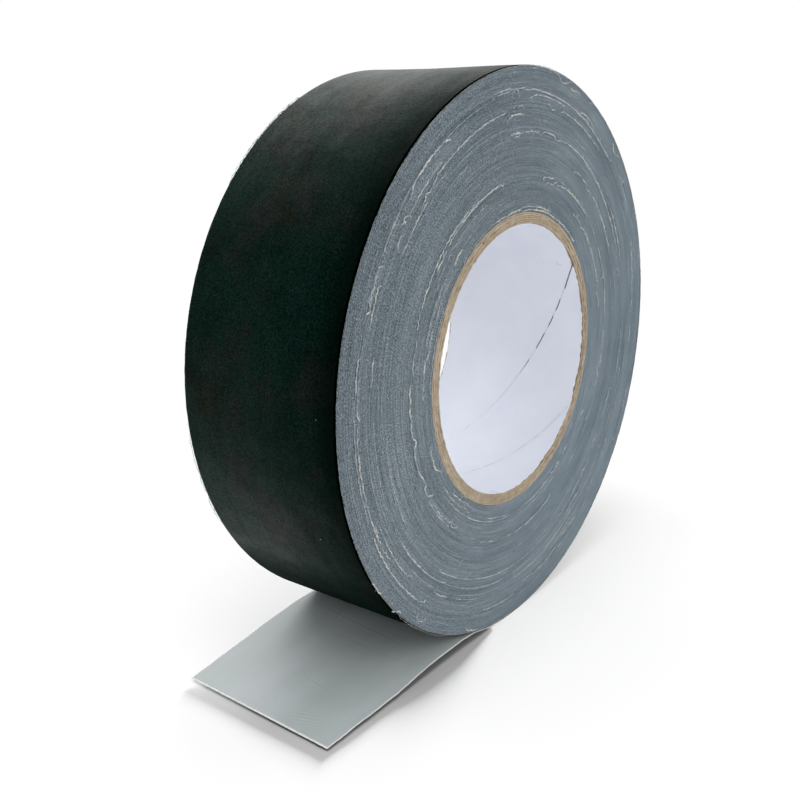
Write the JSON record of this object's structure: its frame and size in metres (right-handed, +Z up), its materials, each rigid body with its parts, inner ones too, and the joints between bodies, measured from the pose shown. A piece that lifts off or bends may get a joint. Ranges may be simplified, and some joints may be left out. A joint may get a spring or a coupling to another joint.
{
  "type": "duct tape roll",
  "caption": "Roll of black cloth tape on a spirally wound paper core, standing on its rim, with a peeled-off free end that pays out as the roll turns and curls back onto it.",
  "frame": {"origin": "centre of the core's bore, at mid width", "axes": "+Y along the bore axis, from the seen side face to the far one; +Z up as the roll stands on its rim; the free end of the tape lies towards -X"},
  "size_m": [0.1631, 0.05, 0.1582],
  "materials": {
    "liner_paper": "smooth white liner paper, slightly cool, matt",
    "kraft_board": "tan kraft board, fibrous cut ends",
    "tape_edge": "slit edge of the wound tape, blue-grey, finely ribbed, with frayed threads",
    "adhesive": "light grey rubber adhesive, softly glossy",
    "scrim": "off-white cotton gauze",
    "backing": "satin black polyethylene film over the cloth's texture"
  },
  "bodies": {
    "peel": {"peel_adhesive": "adhesive", "peel_scrim": "scrim", "peel_backing": "backing"},
    "roll": {"core_liner_ply": "liner_paper", "core_ply_1": "kraft_board", "core_ply_2": "kraft_board", "core_ply_3": "kraft_board", "core_ply_4": "kraft_board", "core_ply_5": "kraft_board", "core_ply_6": "kraft_board", "wound_turns": "tape_edge", "outer_turn_adhesive": "adhesive", "outer_turn_scrim": "scrim", "outer_turn_backing": "backing"},
    "tail_0": {"tail_0_adhesive": "adhesive", "tail_0_scrim": "scrim", "tail_0_backing": "backing"},
    "tail_1": {"tail_1_adhesive": "adhesive", "tail_1_scrim": "scrim", "tail_1_backing": "backing"},
    "tail_2": {"tail_2_adhesive": "adhesive", "tail_2_scrim": "scrim", "tail_2_backing": "backing"},
    "tail_3": {"tail_3_adhesive": "adhesive", "tail_3_scrim": "scrim", "tail_3_backing": "backing"},
    "tail_4": {"tail_4_adhesive": "adhesive", "tail_4_scrim": "scrim", "tail_4_backing": "backing", "tail_span_adhesive": "adhesive", "tail_span_scrim": "scrim", "tail_span_backing": "backing"},
    "tail_end": {"tail_end_adhesive": "adhesive", "tail_end_scrim": "scrim", "tail_end_backing": "backing"}
  },
  "joints": [
    {"name": "roll_spin", "type": "hinge", "parent": "peel", "child": "roll", "pos_m": [0, 0, 0], "axis": [0, 1, 0], "range_deg": [0, 90]},
    {"name": "tail_curl", "type": "hinge", "parent": "peel", "child": "tail_0", "pos_m": [-0.03252, 0, -0.07237], "axis": [0, 1, 0], "range_deg": [0, 27]},
    {"name": "tail_flex_1", "type": "hinge", "parent": "tail_0", "child": "tail_1", "pos_m": [-0.041, 0, -0.07256], "axis": [0, 1, 0], "range_deg": [0, 10.45]},
    {"name": "tail_flex_2", "type": "hinge", "parent": "tail_1", "child": "tail_2", "pos_m": [-0.0495, 0, -0.07336], "axis": [0, 1, 0], "range_deg": [0, 7.7]},
    {"name": "tail_flex_3", "type": "hinge", "parent": "tail_2", "child": "tail_3", "pos_m": [-0.058, 0, -0.07441], "axis": [0, 1, 0], "range_deg": [0, 6.72]},
    {"name": "tail_flex_4", "type": "hinge", "parent": "tail_3", "child": "tail_4", "pos_m": [-0.0665, 0, -0.07561], "axis": [0, 1, 0], "range_deg": [0, 1.78]},
    {"name": "tail_payout", "type": "slide", "parent": "tail_4", "child": "tail_end", "axis": [-1, 0, 0], "range_m": [0, 0.12456], "deforming": ["tail_span_adhesive", "tail_span_scrim", "tail_span_backing"]}
  ],
  "couplings": [
    {"joint": "tail_flex_1", "follows": "tail_curl", "ratio": 0.387},
    {"joint": "tail_flex_2", "follows": "tail_curl", "ratio": 0.285},
    {"joint": "tail_flex_3", "follows": "tail_curl", "ratio": 0.249},
    {"joint": "tail_flex_4", "follows": "tail_curl", "ratio": 0.066},
    {"joint": "tail_payout", "follows": "roll_spin", "m_per_rad": 0.0793}
  ]
}
